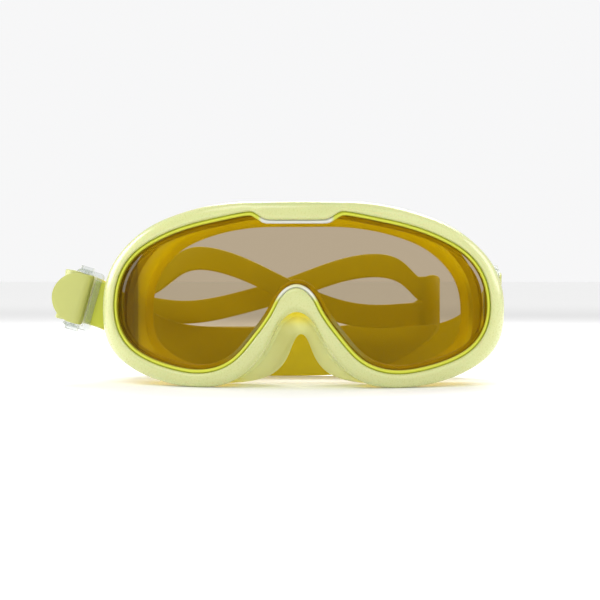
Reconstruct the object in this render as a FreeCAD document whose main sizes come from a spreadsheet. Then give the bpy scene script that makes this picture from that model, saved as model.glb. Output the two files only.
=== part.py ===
"""Wide-view swim mask: curved lens in a clamped frame, silicone skirt, and a strap on swivelling buckles.

The row frame has +Z up and the lens facing -Y. X = 0 is the plane of symmetry, Y = 0 is the frontmost
point of the frame, and Z = 0 is the plane that the mask stands on. All sizes are in millimetres.
"""
import FreeCAD, Part
import math
import os

import Sketcher
from FreeCAD import Placement, Rotation, Vector

SIZES = [
    # name, value, meaning
    ("frame_half_width", 84.0, "plane of symmetry to the frame's side"),
    ("frame_height", 75.0, "standing plane to the frame's top land"),
    ("top_land_half", 18.0, "half the length of the flat land on the frame's top"),
    ("wrap_radius", 130.0, "radius of the frame's front about a vertical axis"),
    ("frame_depth", 8.5, "frame thickness along the wrap radius"),
    ("side_band", 7.4, "frame band beside the visible lens"),
    ("top_band", 4.6, "frame band above the visible lens"),
    ("bottom_band", 7.2, "frame band below the visible lens"),
    ("arch_height", 30.6, "top of the nose arch's lower edge"),
    ("arch_band", 11.2, "frame band over the nose"),
    ("frame_lip", 1.5, "thickness of the frame's lip in front of the gasket"),
    ("tab_half_width", 12.4, "half the width of the top tab at its lower edge"),
    ("tab_slope", 5.8, "width of each sloping end of the top tab"),
    ("tab_drop", 7.6, "top land to the tab's lower edge"),
    ("lens_thickness", 2.0, "lens wall"),
    ("lens_bite", 3.0, "depth of the lens edge inside the gasket"),
    ("lip_show", 1.5, "gasket lip that shows inside the frame"),
    ("gasket_wall", 1.1, "gasket wall in front of, behind and around the lens edge"),
    ("skirt_wall", 1.8, "silicone wall of the skirt"),
    ("skirt_inset", 1.5, "skirt's start inside the frame's outline"),
    ("skirt_waist_depth", 34.0, "Y of the skirt's narrowing"),
    ("skirt_waist_half", 74.0, "half width of the skirt at its waist"),
    ("skirt_rear_half", 71.5, "half width of the skirt at its rear end"),
    ("skirt_end_depth", 78.0, "Y of the skirt's longest reach before it is trimmed to the face"),
    ("skirt_top", 71.0, "height of the skirt's rear end"),
    ("nose_height", 19.5, "height of the nose opening"),
    ("nose_narrowing", 0.38, "nose opening's top over the width of the frame's nose arch there"),
    ("skirt_bottom", 0.5, "height of the skirt's lower edge behind the frame"),
    ("land_trim", 0.15, "trimmed off the frame's top to leave a flat land"),
    ("face_radius", 85.0, "radius of the face that the seal fits"),
    ("face_depth", 31.0, "Y of the seal at the plane of symmetry"),
    ("seal_thickness", 2.0, "thickness of the seal flange"),
    ("seal_width", 6.0, "seal flange turned in from the skirt's wall"),
    ("hinge_offset", 3.8, "frame's side to the buckle hinge's axis"),
    ("hinge_depth", 46.0, "Y of the buckle hinge's axis"),
    ("hinge_height", 31.0, "Z of the middle of the buckle hinge"),
    ("hinge_pin_radius", 0.9, "buckle hinge's pin"),
    ("knuckle_radius", 2.3, "arm's knuckle round the pin"),
    ("knuckle_height", 19.0, "arm's knuckle along the pin"),
    ("lug_thickness", 2.2, "each of the frame's hinge lugs along the pin"),
    ("running_gap", 0.05, "radial clearance of turning and sliding parts"),
    ("side_gap", 0.2, "gap between a knuckle and the lug beside it"),
    ("arm_tilt", 15.9, "rise of the arm towards its outer end, in degrees"),
    ("arm_length", 11.6, "hinge axis to the arm's outer end"),
    ("arm_thickness", 3.0, "arm's plate"),
    ("arm_width", 19.0, "arm's plate across the strap"),
    ("strap_width", 21.6, "strap where it is single"),
    ("strap_thickness", 2.0, "strap"),
    ("band_gap", 1.0, "slit between the strap's two bands"),
    ("roller_reach", 16.4, "hinge axis to the roller's axis"),
    ("roller_radius", 1.7, "strap roller"),
    ("roller_bore", 1.05, "bore of the roller"),
    ("wrap_gap", 0.05, "roller to the strap's inside"),
    ("buckle_thickness", 5.2, "buckle body across its cheeks"),
    ("crossbar_length", 3.2, "buckle's crossbar along the arm"),
    ("cheek_gap", 0.3, "strap's edge to the buckle's cheek"),
    ("cheek_thickness", 1.5, "each cheek of the buckle"),
    ("cheek_overhang", 3.8, "roller's axis to the cheeks' outer end"),
    ("button_length", 5.5, "release button along the arm"),
    ("button_depth", 4.0, "release button across the buckle"),
    ("button_height", 1.8, "release button's head along the roller's axis"),
    ("button_travel", 1.0, "release button's stroke"),
    ("stem_length", 3.0, "button's stem inside the roller"),
    ("spring_wire", 0.2, "radius of the release spring's wire"),
    ("spring_turns", 9.0, "turns of the release spring"),
    ("strap_lead", 4.2, "roller's axis to the end of the strap's threaded part"),
]

doc = FreeCAD.newDocument("swim_mask")
sheet = doc.addObject("Spreadsheet::Sheet", "sizes")
for row, (alias, number, meaning) in enumerate(SIZES, start=1):
    sheet.set(f"A{row}", alias)
    sheet.set(f"B{row}", str(number))
    sheet.set(f"C{row}", meaning)
    sheet.setAlias(f"B{row}", alias)
doc.recompute()


def size(alias):
    """A driving dimension, read back from the sheet."""
    return float(getattr(sheet, alias))


# ---------------------------------------------------------------- outlines in the front view
# Each half outline runs from the top of the plane of symmetry round the side and the lobe to the nose.
# Across: a share of the half width. Up: a share of the height between the lobe's bottom and the top.
FRAME_SIDE = [(0.43, 0.978), (0.578, 0.938), (0.727, 0.874), (0.862, 0.768), (0.950, 0.648), (0.992, 0.520),
              (1.0, 0.393), (0.984, 0.270), (0.938, 0.180), (0.880, 0.124), (0.786, 0.068), (0.630, 0.016),
              (0.455, 0.0)]
# The nose part: across is a share of the lobe's middle, up is a share of the arch's height.
FRAME_NOSE = [(0.742, 0.056), (0.523, 0.220), (0.382, 0.415), (0.262, 0.660), (0.160, 0.885)]
LENS_SIDE = [(0.234, 0.986), (0.404, 0.950), (0.599, 0.896), (0.768, 0.817), (0.892, 0.720), (0.971, 0.586),
             (1.0, 0.417), (0.980, 0.262), (0.917, 0.152), (0.802, 0.069), (0.668, 0.020), (0.508, 0.0)]
LENS_NOSE = [(0.705, 0.106), (0.470, 0.378), (0.268, 0.700), (0.200, 0.845), (0.112, 0.955)]


def half_outline(side, nose, half_width, bottom, top, peak, land_half=0.0, nose_share=1.0):
    """Points of half an outline, as (across, up), from the top of the plane of symmetry to the nose.

    nose_share narrows the nose by that share at its top, and by less and less towards the lobe.
    """
    points = [(0.0, top)]
    if land_half:
        points.append((land_half, top))
    for across, up in side:
        points.append((across * half_width, bottom + up * (top - bottom)))
    lobe = side[-1][0] * half_width
    for across, up in nose:
        narrowing = nose_share + (1 - nose_share) * across ** 2
        points.append((across * lobe * narrowing, bottom + up * (peak - bottom)))
    points.append((0.0, peak))
    return points


def half_curve(half, depth):
    """The smooth curve through a half outline, level where it meets the plane of symmetry."""
    curve = Part.BSplineCurve()
    curve.interpolate(Points=[Vector(x, depth, z) for x, z in half],
                      InitialTangent=Vector(1, 0, 0), FinalTangent=Vector(-1, 0, 0))
    return curve


def grown(half, distance):
    """The half outline moved outwards by a distance, square to its curve."""
    curve = half_curve(half, 0.0)
    moved = []
    for x, z in half:
        along = curve.tangent(curve.parameter(Vector(x, 0, z)))[0]
        moved.append((x - distance * along.z, z + distance * along.x))
    moved[0] = (0.0, half[0][1] + distance)
    moved[-1] = (0.0, half[-1][1] - distance)
    return moved


def closed_wire(half, depth):
    """A closed wire of a half outline and its mirror image, at a depth."""
    right = half_curve(half, depth).toShape()
    left = right.mirror(Vector(0, 0, 0), Vector(1, 0, 0))
    return Part.Wire([right, left])


half_width = size("frame_half_width")
frame_half = half_outline(FRAME_SIDE, FRAME_NOSE, half_width, 0.0, size("frame_height"),
                          size("arch_height"), size("top_land_half"))
lens_half = half_outline(LENS_SIDE, LENS_NOSE, half_width - size("side_band"), size("bottom_band"),
                         size("frame_height") - size("top_band"), size("arch_height") + size("arch_band"))

# ---------------------------------------------------------------- layers along the wrap radius
wrap_centre = size("wrap_radius")
front_radius = size("wrap_radius")
lip_radius = front_radius - size("frame_lip")
lens_front_radius = lip_radius - size("gasket_wall")
lens_back_radius = lens_front_radius - size("lens_thickness")
gasket_back_radius = lens_back_radius - size("gasket_wall")
frame_back_radius = front_radius - size("frame_depth")
skirt_flange_radius = frame_back_radius - size("skirt_wall")
groove_growth = size("lens_bite") + size("gasket_wall")

ABOVE = 40.0  # how far the trimming cylinders and prisms reach past the mask


def upright_cylinder(radius, centre_depth):
    """A tall cylinder about a vertical axis on the plane of symmetry, with its seam at the back."""
    tall = size("frame_height") + 2 * ABOVE
    cylinder = Part.makeCylinder(radius, tall)
    cylinder.rotate(Vector(0, 0, 0), Vector(0, 0, 1), 90)
    cylinder.translate(Vector(0, centre_depth, -ABOVE))
    return cylinder


def wrapped_shell(outer_radius, inner_radius):
    """The front stretch of a tall tube about the wrap axis."""
    tall = size("frame_height") + 2 * ABOVE
    wall = Part.makePolygon([Vector(inner_radius, 0, 0), Vector(outer_radius, 0, 0),
                             Vector(outer_radius, 0, tall), Vector(inner_radius, 0, tall),
                             Vector(inner_radius, 0, 0)])
    shell = Part.Face(wall).revolve(Vector(0, 0, 0), Vector(0, 0, 1), 120)
    shell.rotate(Vector(0, 0, 0), Vector(0, 0, 1), -150)
    shell.translate(Vector(0, wrap_centre, -ABOVE))
    return shell


def prism(half, reach):
    """A half outline and its mirror image pushed back from the front of the mask."""
    return Part.Face(closed_wire(half, -ABOVE)).extrude(Vector(0, reach + ABOVE, 0))


def layer(outer, inner, outer_radius, inner_radius):
    """A wrapped ring or sheet between two outlines and two radii about the wrap axis."""
    sheet_of = wrapped_shell(outer_radius, inner_radius).common(prism(outer, size("wrap_radius") * 0.7))
    if inner is None:
        return sheet_of
    return sheet_of.cut(prism(inner, size("wrap_radius") * 0.7))


def one_solid(shape):
    """The only solid of a shape."""
    solids = shape.Solids
    if len(solids) != 1:
        raise RuntimeError(f"expected one solid, found {len(solids)}")
    return solids[0]


def feature(label, shape):
    """A document object that holds a shape worked out from the sheet."""
    piece = doc.addObject("Part::Feature", label)
    piece.Label = label
    piece.Shape = shape
    nodes.append(piece)
    return piece


nodes = []
SIDES = {"left": -1, "right": 1}


def hinge_point(side):
    """The middle of one buckle hinge."""
    across = SIDES[side] * (half_width - size("hinge_offset"))
    return Vector(across, size("hinge_depth"), size("hinge_height"))


def tab_prism(margin, inner_radius):
    """The top tab's trapezium in front of a radius, grown below and beside by a margin."""
    low = size("frame_height") - size("tab_drop") - margin
    high = size("frame_height") - size("top_band") + 1.0
    short = size("tab_half_width") + margin / 2
    long = short + size("tab_slope")
    corners = [Vector(x, -ABOVE, z) for x, z in ((-long, high), (-short, low), (short, low), (long, high))]
    face = Part.Face(Part.makePolygon(corners + corners[:1]))
    block = face.extrude(Vector(0, ABOVE + wrap_centre, 0))
    front = Part.makeBox(4 * half_width, wrap_centre, 4 * ABOVE, Vector(-2 * half_width, 0, -ABOVE))
    return block.common(front).cut(upright_cylinder(inner_radius, wrap_centre))


def make_front_frame():
    """The wrapped front frame: band, lip over the gasket, top tab, and a fork of lugs on each side."""
    body = layer(frame_half, grown(lens_half, size("lip_show")), front_radius, frame_back_radius)
    body = body.cut(layer(grown(lens_half, groove_growth), None, lip_radius, frame_back_radius - 1.0))
    body = body.fuse(tab_prism(0.0, lip_radius).common(upright_cylinder(front_radius, wrap_centre)))
    for side in SIDES:
        body = body.fuse(make_lugs(side))
    above_land = Part.makeBox(2 * half_width, 4 * size("frame_depth"), ABOVE,
                              Vector(-half_width, -size("frame_depth"), size("frame_height") - size("land_trim")))
    return one_solid(body.cut(above_land).removeSplitter())


def make_lugs(side):
    """The two hinge lugs of one side, reaching back from the frame round the pin."""
    centre = hinge_point(side)
    radius = size("knuckle_radius")
    start = wrap_centre - math.sqrt(frame_back_radius ** 2 - centre.x ** 2) - 0.6
    first = size("knuckle_height") / 2 + size("side_gap")
    lugs = []
    for low in (first, -first - size("lug_thickness")):
        plate = Part.makeBox(2 * radius, centre.y - start, size("lug_thickness"),
                             Vector(centre.x - radius, start, centre.z + low))
        eye = Part.makeCylinder(radius, size("lug_thickness"), centre + Vector(0, 0, low))
        hole = Part.makeCylinder(size("hinge_pin_radius"), size("lug_thickness"), centre + Vector(0, 0, low))
        lugs.append(plate.fuse(eye).cut(hole))
    return lugs[0].fuse(lugs[1:])


def make_gasket():
    """The silicone channel round the lens's edge, with the lip that shows in front."""
    channel = layer(grown(lens_half, groove_growth), lens_half, lip_radius, gasket_back_radius)
    channel = channel.cut(layer(grown(lens_half, size("lens_bite")), None, lens_front_radius, lens_back_radius))
    tab_lip = tab_prism(size("lip_show"), lens_front_radius).common(upright_cylinder(lip_radius, wrap_centre))
    return one_solid(channel.fuse(tab_lip).removeSplitter())


def make_lens():
    """The one-piece wrapped lens, with its edge in the gasket."""
    return one_solid(layer(grown(lens_half, size("lens_bite")), None, lens_front_radius, lens_back_radius))


def make_retaining_ring():
    """The ring pressed into the frame from behind, which clamps the gasket."""
    outer = grown(lens_half, groove_growth)
    return one_solid(layer(outer, grown(lens_half, -0.4), gasket_back_radius, frame_back_radius))


def rear_outline(width_name):
    """The skirt's half outline behind the frame, at a named half width."""
    return half_outline(FRAME_SIDE, FRAME_NOSE, size(width_name), size("skirt_bottom"), size("skirt_top"),
                        size("nose_height"), size("top_land_half"), size("nose_narrowing"))


def skirt_sections(inwards):
    """The skirt's three cross sections: at the frame, at its waist and at its rear end."""
    front = grown(frame_half, -size("skirt_inset") - inwards)
    waist = grown(rear_outline("skirt_waist_half"), -inwards)
    rear = grown(rear_outline("skirt_rear_half"), -inwards)
    depths = (0.0, size("skirt_waist_depth"), size("skirt_end_depth"))
    return [closed_wire(half, depth) for half, depth in zip((front, waist, rear), depths)]


def make_skirt():
    """The silicone skirt: walls, nose saddle, mounting flange and the seal flange that fits the face."""
    wall = size("skirt_wall")
    face_centre = size("face_depth") + size("face_radius")
    face = upright_cylinder(size("face_radius"), face_centre)
    seal_front = upright_cylinder(size("face_radius") + size("seal_thickness"), face_centre)
    behind_frame = upright_cylinder(frame_back_radius, wrap_centre)
    outside = Part.makeLoft(skirt_sections(0.0), True, True).common(behind_frame).cut(face)
    cavity = Part.makeLoft(skirt_sections(wall), True, True).cut(seal_front)
    seal_opening = prism(grown(rear_outline("skirt_rear_half"), -size("seal_width")),
                         size("skirt_end_depth") + ABOVE)
    front_part = upright_cylinder(face_centre - size("face_depth"), face_centre)
    mounting = layer(grown(lens_half, 1.0), grown(lens_half, -1.6), frame_back_radius, skirt_flange_radius)
    body = outside.cut(cavity).cut(seal_opening.common(front_part.fuse(seal_front)))
    return one_solid(body.fuse(mounting).removeSplitter())


# ---------------------------------------------------------------- strap
def strap_frame(side, swing):
    """Where the arm and buckle of one side sit: origin, then outwards, forwards and along the roller."""
    sign = SIDES[side]
    tilt = math.radians(size("arm_tilt"))
    turn = Rotation(Vector(0, 0, 1), swing)
    outward = turn.multVec(Vector(sign * math.cos(tilt), 0, math.sin(tilt)))
    forward = turn.multVec(Vector(0, -1, 0))
    return hinge_point(side), outward, forward, outward.cross(forward)


REST_SWING = {"left": 0.0, "right": 90.0}  # degrees about +Z from pointing straight out


def side_placement(side):
    """The placement that takes the arm's own coordinates to their place at rest."""
    origin, outward, forward, along = strap_frame(side, REST_SWING[side])
    return Placement(origin, Rotation(outward, forward, along, "XYZ"))


def pin_placement(side):
    """The placement of the parts on the hinge's own vertical axis."""
    return Placement(hinge_point(side), Rotation())


# ---------------------------------------------------------------- sketched bodies
def new_body(label):
    """An empty PartDesign body whose label names its file."""
    body = doc.addObject("PartDesign::Body", label)
    body.Label = label
    nodes.append(body)
    return body


def new_sketch(body, plane, name, offset=None):
    """A sketch on one of the body's own origin planes, raised by an expression."""
    sketch = body.newObject("Sketcher::SketchObject", name)
    origin_plane = next(item for item in body.Origin.OriginFeatures if item.Role == plane)
    sketch.AttachmentSupport = [(origin_plane, "")]
    sketch.MapMode = "FlatFace"
    if offset:
        sketch.setExpression("AttachmentOffset.Base.z", offset)
    return sketch


def bind(sketch, kind, first, second, expression):
    """A distance constraint bound to an expression of the sheet."""
    number = evaluate(expression)
    index = sketch.addConstraint(Sketcher.Constraint(kind, *first, *second, number))
    sketch.setExpression(f"Constraints[{index}]", expression)


def evaluate(expression):
    """The number that a sheet expression gives now."""
    return float(sheet.evalExpression(expression.replace("sizes.", "")))


def add_rectangle(sketch, left, right, low, high):
    """A rectangle between four expressions."""
    x0, x1, y0, y1 = (evaluate(item) for item in (left, right, low, high))
    corners = [Vector(x0, y0, 0), Vector(x1, y0, 0), Vector(x1, y1, 0), Vector(x0, y1, 0)]
    lines = [sketch.addGeometry(Part.LineSegment(corners[i], corners[(i + 1) % 4])) for i in range(4)]
    for i in range(4):
        sketch.addConstraint(Sketcher.Constraint("Coincident", lines[i], 2, lines[(i + 1) % 4], 1))
    for i, kind in enumerate(("Horizontal", "Vertical", "Horizontal", "Vertical")):
        sketch.addConstraint(Sketcher.Constraint(kind, lines[i]))
    bind(sketch, "DistanceX", (-1, 1), (lines[0], 1), left)
    bind(sketch, "DistanceX", (-1, 1), (lines[0], 2), right)
    bind(sketch, "DistanceY", (-1, 1), (lines[0], 1), low)
    bind(sketch, "DistanceY", (-1, 1), (lines[1], 2), high)


def add_circle(sketch, radius, across=None):
    """A circle whose centre stands on the sketch's first axis, at the origin or at an expression."""
    place = Vector(evaluate(across), 0, 0) if across else Vector(0, 0, 0)
    circle = sketch.addGeometry(Part.Circle(place, Vector(0, 0, 1), evaluate(radius)))
    index = sketch.addConstraint(Sketcher.Constraint("Radius", circle, evaluate(radius)))
    sketch.setExpression(f"Constraints[{index}]", radius)
    if across:
        sketch.addConstraint(Sketcher.Constraint("PointOnObject", circle, 3, -1))
        bind(sketch, "DistanceX", (-1, 1), (circle, 3), across)
    else:
        sketch.addConstraint(Sketcher.Constraint("Coincident", circle, 3, -1, 1))


def pad(body, sketch, length):
    """The sketch padded to both sides by an expression for the whole length."""
    solid = body.newObject("PartDesign::Pad", f"{sketch.Name}_pad")
    solid.Profile = sketch
    solid.SideType = "Symmetric"
    solid.setExpression("Length", length)
    doc.recompute()
    return solid


def pocket(body, sketch, length):
    """The sketch cut to both sides by an expression for the whole length, checked by volume."""
    before = body.Shape.Volume
    cut = body.newObject("PartDesign::Pocket", f"{sketch.Name}_pocket")
    cut.Profile = sketch
    cut.SideType = "Symmetric"
    cut.setExpression("Length", length)
    doc.recompute()
    if not body.Shape.Volume < before - 1e-6:
        raise RuntimeError(f"{cut.Name} cuts nothing")
    return cut


def round_edges(body, radius, chosen):
    """Fillets on the edges of the body's last shape that a test chooses."""
    base = body.Tip
    names = [f"Edge{i + 1}" for i, edge in enumerate(base.Shape.Edges) if chosen(edge)]
    fillet = body.newObject("PartDesign::Fillet", f"{base.Name}_rounding")
    fillet.Base = (base, names)
    fillet.setExpression("Radius", radius)
    doc.recompute()
    return fillet


def runs_along(edge, direction):
    """True where an edge is a straight line along a direction."""
    if not isinstance(edge.Curve, Part.Line):
        return False
    return abs(abs(edge.tangentAt(edge.FirstParameter).dot(direction)) - 1) < 1e-6


PIN_LENGTH = "(sizes.knuckle_height + 2 * sizes.side_gap + 2 * sizes.lug_thickness)"
ROLLER_LENGTH = "(sizes.strap_width + 2 * sizes.cheek_gap - 0.4)"
CHEEK_INSIDE = "(sizes.strap_width / 2 + sizes.cheek_gap)"
CHEEK_OUTSIDE = "(sizes.strap_width / 2 + sizes.cheek_gap + sizes.cheek_thickness)"
HEAD_INSIDE = "(sizes.strap_width / 2 + sizes.cheek_gap + sizes.button_travel)"


def make_hinge_pin(side):
    """The steel pin pressed into the frame's two lugs."""
    body = new_body(f"{side}_hinge_pin")
    sketch = new_sketch(body, "XY_Plane", f"{side}_pin_circle")
    add_circle(sketch, "sizes.hinge_pin_radius")
    pad(body, sketch, PIN_LENGTH)
    body.Placement = pin_placement(side)


def make_arm(side):
    """The silicone-covered arm: an upright knuckle on the pin and a tilted plate that carries the buckle."""
    tilt = size("arm_tilt")
    radius = size("knuckle_radius")
    tall = size("knuckle_height")
    long = size("arm_length")
    thick = size("arm_thickness")
    wide = size("arm_width")
    knuckle = Part.makeCylinder(radius, tall, Vector(0, 0, -tall / 2))
    plate = Part.makeBox(long, thick, wide, Vector(0, -thick / 2, -wide / 2))
    upright = [edge for edge in plate.Edges if runs_along(edge, Vector(0, 1, 0))]
    plate = plate.makeFillet(thick / 2, [edge for edge in upright if edge.CenterOfMass.x > long / 2])
    long_edges = [edge for edge in plate.Edges if runs_along(edge, Vector(1, 0, 0))]
    plate = plate.makeFillet(thick / 4, long_edges)
    plate.rotate(Vector(0, 0, 0), Vector(0, 1, 0), -tilt)
    band = Part.makeBox(4 * long, 4 * thick, tall, Vector(-2 * long, -2 * thick, -tall / 2))
    near_pin = Part.makeBox(long / 2, 4 * thick, 4 * tall, Vector(-long / 4, -2 * thick, -2 * tall))
    plate = plate.cut(near_pin.cut(band))
    bore = Part.makeCylinder(size("hinge_pin_radius") + size("running_gap"), tall, Vector(0, 0, -tall / 2))
    shape = knuckle.fuse(plate).cut(bore).removeSplitter()
    piece = feature(f"{side}_arm", one_solid(shape))
    facing = 180.0 if side == "left" else 0.0
    piece.Placement = Placement(hinge_point(side), Rotation(Vector(0, 0, 1), facing + REST_SWING[side]))


def make_buckle_body(side):
    """The clear buckle: a crossbar that takes the arm's end, and two cheeks that carry the roller."""
    body = new_body(f"{side}_buckle_body")
    start = "(sizes.arm_length - sizes.crossbar_length + 0.4)"
    outline = new_sketch(body, "XZ_Plane", f"{side}_buckle_outline")
    add_rectangle(outline, start, "(sizes.roller_reach + sizes.cheek_overhang)",
                  f"-{CHEEK_OUTSIDE}", CHEEK_OUTSIDE)
    pad(body, outline, "sizes.buckle_thickness")
    body.Tip = round_edges(body, "sizes.buckle_thickness * 0.35", lambda edge: runs_along(edge, Vector(0, 1, 0)))
    strap_room = new_sketch(body, "XZ_Plane", f"{side}_strap_room")
    add_rectangle(strap_room, "(sizes.arm_length + 0.4)", "(sizes.roller_reach + 2 * sizes.cheek_overhang)",
                  f"-{CHEEK_INSIDE}", CHEEK_INSIDE)
    pocket(body, strap_room, "(2 * sizes.buckle_thickness)")
    arm_slot = new_sketch(body, "XZ_Plane", f"{side}_arm_slot")
    add_rectangle(arm_slot, "0", "sizes.arm_length", "(-sizes.arm_width / 2)", "(sizes.arm_width / 2)")
    pocket(body, arm_slot, "sizes.arm_thickness")
    window = new_sketch(body, "XY_Plane", f"{side}_button_window")
    half_long = "(sizes.button_length / 2 + sizes.running_gap)"
    half_deep = "(sizes.button_depth / 2 + sizes.running_gap)"
    add_rectangle(window, f"(sizes.roller_reach - {half_long})", f"(sizes.roller_reach + {half_long})",
                  f"-{half_deep}", half_deep)
    pocket(body, window, f"(4 * {CHEEK_OUTSIDE})")
    body.Placement = side_placement(side)


def make_roller(side):
    """The ribbed roller that the strap turns round, bored for the buttons' stems and the spring."""
    body = new_body(f"{side}_strap_roller")
    outline = new_sketch(body, "XY_Plane", f"{side}_roller_circle")
    add_circle(outline, "sizes.roller_radius")
    add_circle(outline, "sizes.roller_bore")
    pad(body, outline, ROLLER_LENGTH)
    groove_sketch = new_sketch(body, "XY_Plane", f"{side}_roller_groove")
    add_circle(groove_sketch, "(sizes.roller_radius * 0.12)", "sizes.roller_radius")
    groove = pocket(body, groove_sketch, ROLLER_LENGTH)
    ribs = body.newObject("PartDesign::PolarPattern", f"{side}_roller_grooves")
    ribs.Originals = [groove]
    ribs.Axis = (outline, ["N_Axis"])
    ribs.Angle = 360
    ribs.Occurrences = 12
    body.Tip = ribs
    doc.recompute()
    body.Placement = side_placement(side).multiply(Placement(Vector(size("roller_reach"), 0, 0), Rotation()))


def make_button(side, place, end):
    """One release button: a head in the cheek's window and a stem inside the roller."""
    body = new_body(f"{side}_{place}_release_button")
    head = new_sketch(body, "XY_Plane", f"{side}_{place}_head", f"{HEAD_INSIDE} + sizes.button_height / 2")
    add_rectangle(head, "(-sizes.button_length / 2)", "(sizes.button_length / 2)",
                  "(-sizes.button_depth / 2)", "(sizes.button_depth / 2)")
    pad(body, head, "sizes.button_height")
    body.Tip = round_edges(body, "sizes.button_depth * 0.2", lambda edge: runs_along(edge, Vector(0, 0, 1)))
    stem = new_sketch(body, "XY_Plane", f"{side}_{place}_stem", f"{HEAD_INSIDE} - sizes.stem_length / 2")
    add_circle(stem, "(sizes.roller_bore - sizes.running_gap)")
    pad(body, stem, "(sizes.stem_length + 0.2)")
    flip = Rotation() if end > 0 else Rotation(Vector(1, 0, 0), 180)
    axis_place = Placement(Vector(size("roller_reach"), 0, 0), flip)
    body.Placement = side_placement(side).multiply(axis_place)


def make_release_spring(side):
    """The coil spring inside the roller, which pushes both stems outwards."""
    wire = size("spring_wire")
    reach = evaluate(HEAD_INSIDE) - size("stem_length") - wire - 0.1
    radius = size("roller_bore") - wire - size("running_gap")
    path = Part.makeHelix(2 * reach / size("spring_turns"), 2 * reach, radius)
    path.translate(Vector(0, 0, -reach))
    section = Part.Wire(Part.makeCircle(wire, Vector(radius, 0, -reach), Vector(0, 1, 0)))
    coil = Part.Wire(path.Edges).makePipeShell([section], True, True)
    piece = feature(f"{side}_release_spring", one_solid(coil))
    piece.Placement = side_placement(side).multiply(Placement(Vector(size("roller_reach"), 0, 0), Rotation()))


def make_strap_end(side):
    """The strap's threaded part: the lead behind, the turn round the roller and the round-tipped tail."""
    wide = size("strap_width")
    thick = size("strap_thickness")
    inside = size("roller_radius") + size("wrap_gap")
    reach = size("roller_reach")
    tail_tip = reach + 0.6 + wide / 2
    turn = Part.makeCylinder(inside + thick, wide, Vector(reach, 0, -wide / 2))
    turn = turn.cut(Part.makeCylinder(inside, wide, Vector(reach, 0, -wide / 2)))
    turn = turn.common(Part.makeBox(2 * reach, 4 * reach, wide, Vector(-reach, -2 * reach, -wide / 2)))
    lead = Part.makeBox(size("strap_lead"), thick, wide, Vector(reach, -inside - thick, -wide / 2))
    tail = Part.makeBox(tail_tip - reach, thick, wide, Vector(reach, inside, -wide / 2))
    tip = Part.makeCylinder(wide / 2, thick, Vector(tail_tip - wide / 2, inside, 0), Vector(0, 1, 0))
    before_tip = Part.makeBox(tail_tip - wide / 2 - reach, thick, wide, Vector(reach, inside, -wide / 2))
    shape = turn.fuse([lead, tail.common(tip.fuse(before_tip))]).removeSplitter()
    piece = feature(f"{side}_strap_end", one_solid(shape))
    piece.Placement = side_placement(side)


# The free strap lies folded behind the skirt. From the left buckle it runs low to a fold on the right, comes
# back as two bands that cross once, folds on the left, and runs behind everything to the right buckle.
UP = Vector(0, 0, 1)
RIGHT_FOLD = Vector(50, 73, 34)
LEFT_FOLD = Vector(-72, 82, 36)
LOW_RUN = [(-103.6, 50.4, 37.3), (-102.8, 53.2, 37.0), (-97.8, 57.6, 35.7), (-89.6, 63.6, 32.6),
           (-81.8, 69.8, 27.4), (-72.0, 75.4, 20.0), (-60.0, 78.6, 14.0), (-43.0, 80.5, 11.6),
           (-18.0, 82.5, 11.4), (10.0, 84.5, 11.8), (32.0, 85.0, 15.5), (47.0, 84.5, 23.0),
           (55.5, 81.5, 30.0), (56.5, 76.5, 34.0), (53.5, 73.6, 34.6)]
FRONT_BAND = [(36.0, 71.0, 27.5), (22.0, 69.5, 28.0), (7.0, 69.0, 32.0), (-12.0, 69.5, 40.5),
              (-28.0, 71.5, 48.0), (-43.5, 75.0, 52.5), (-55.0, 78.5, 51.5), (-64.5, 81.0, 45.0)]
REAR_BAND = [(41.0, 72.5, 46.5), (27.0, 73.0, 49.5), (10.0, 74.5, 46.0), (-8.0, 77.0, 39.5),
             (-25.0, 79.8, 34.5), (-44.0, 82.5, 30.0), (-60.0, 83.2, 29.0)]
BACK_RUN = [(-79.0, 84.0, 34.5), (-80.5, 89.0, 28.0), (-74.5, 92.4, 20.0), (-60.0, 93.2, 13.0),
            (-40.0, 93.2, 11.4), (0.0, 93.2, 11.4), (42.0, 93.0, 11.4), (62.0, 91.5, 14.5),
            (74.0, 87.0, 23.0), (78.6, 80.5, 32.0), (78.0, 74.5, 37.2)]
STATIONS = 36  # cross sections along each run of the strap
END_STRAIGHT = 1.5  # straight stretch at each end of a run


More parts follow.
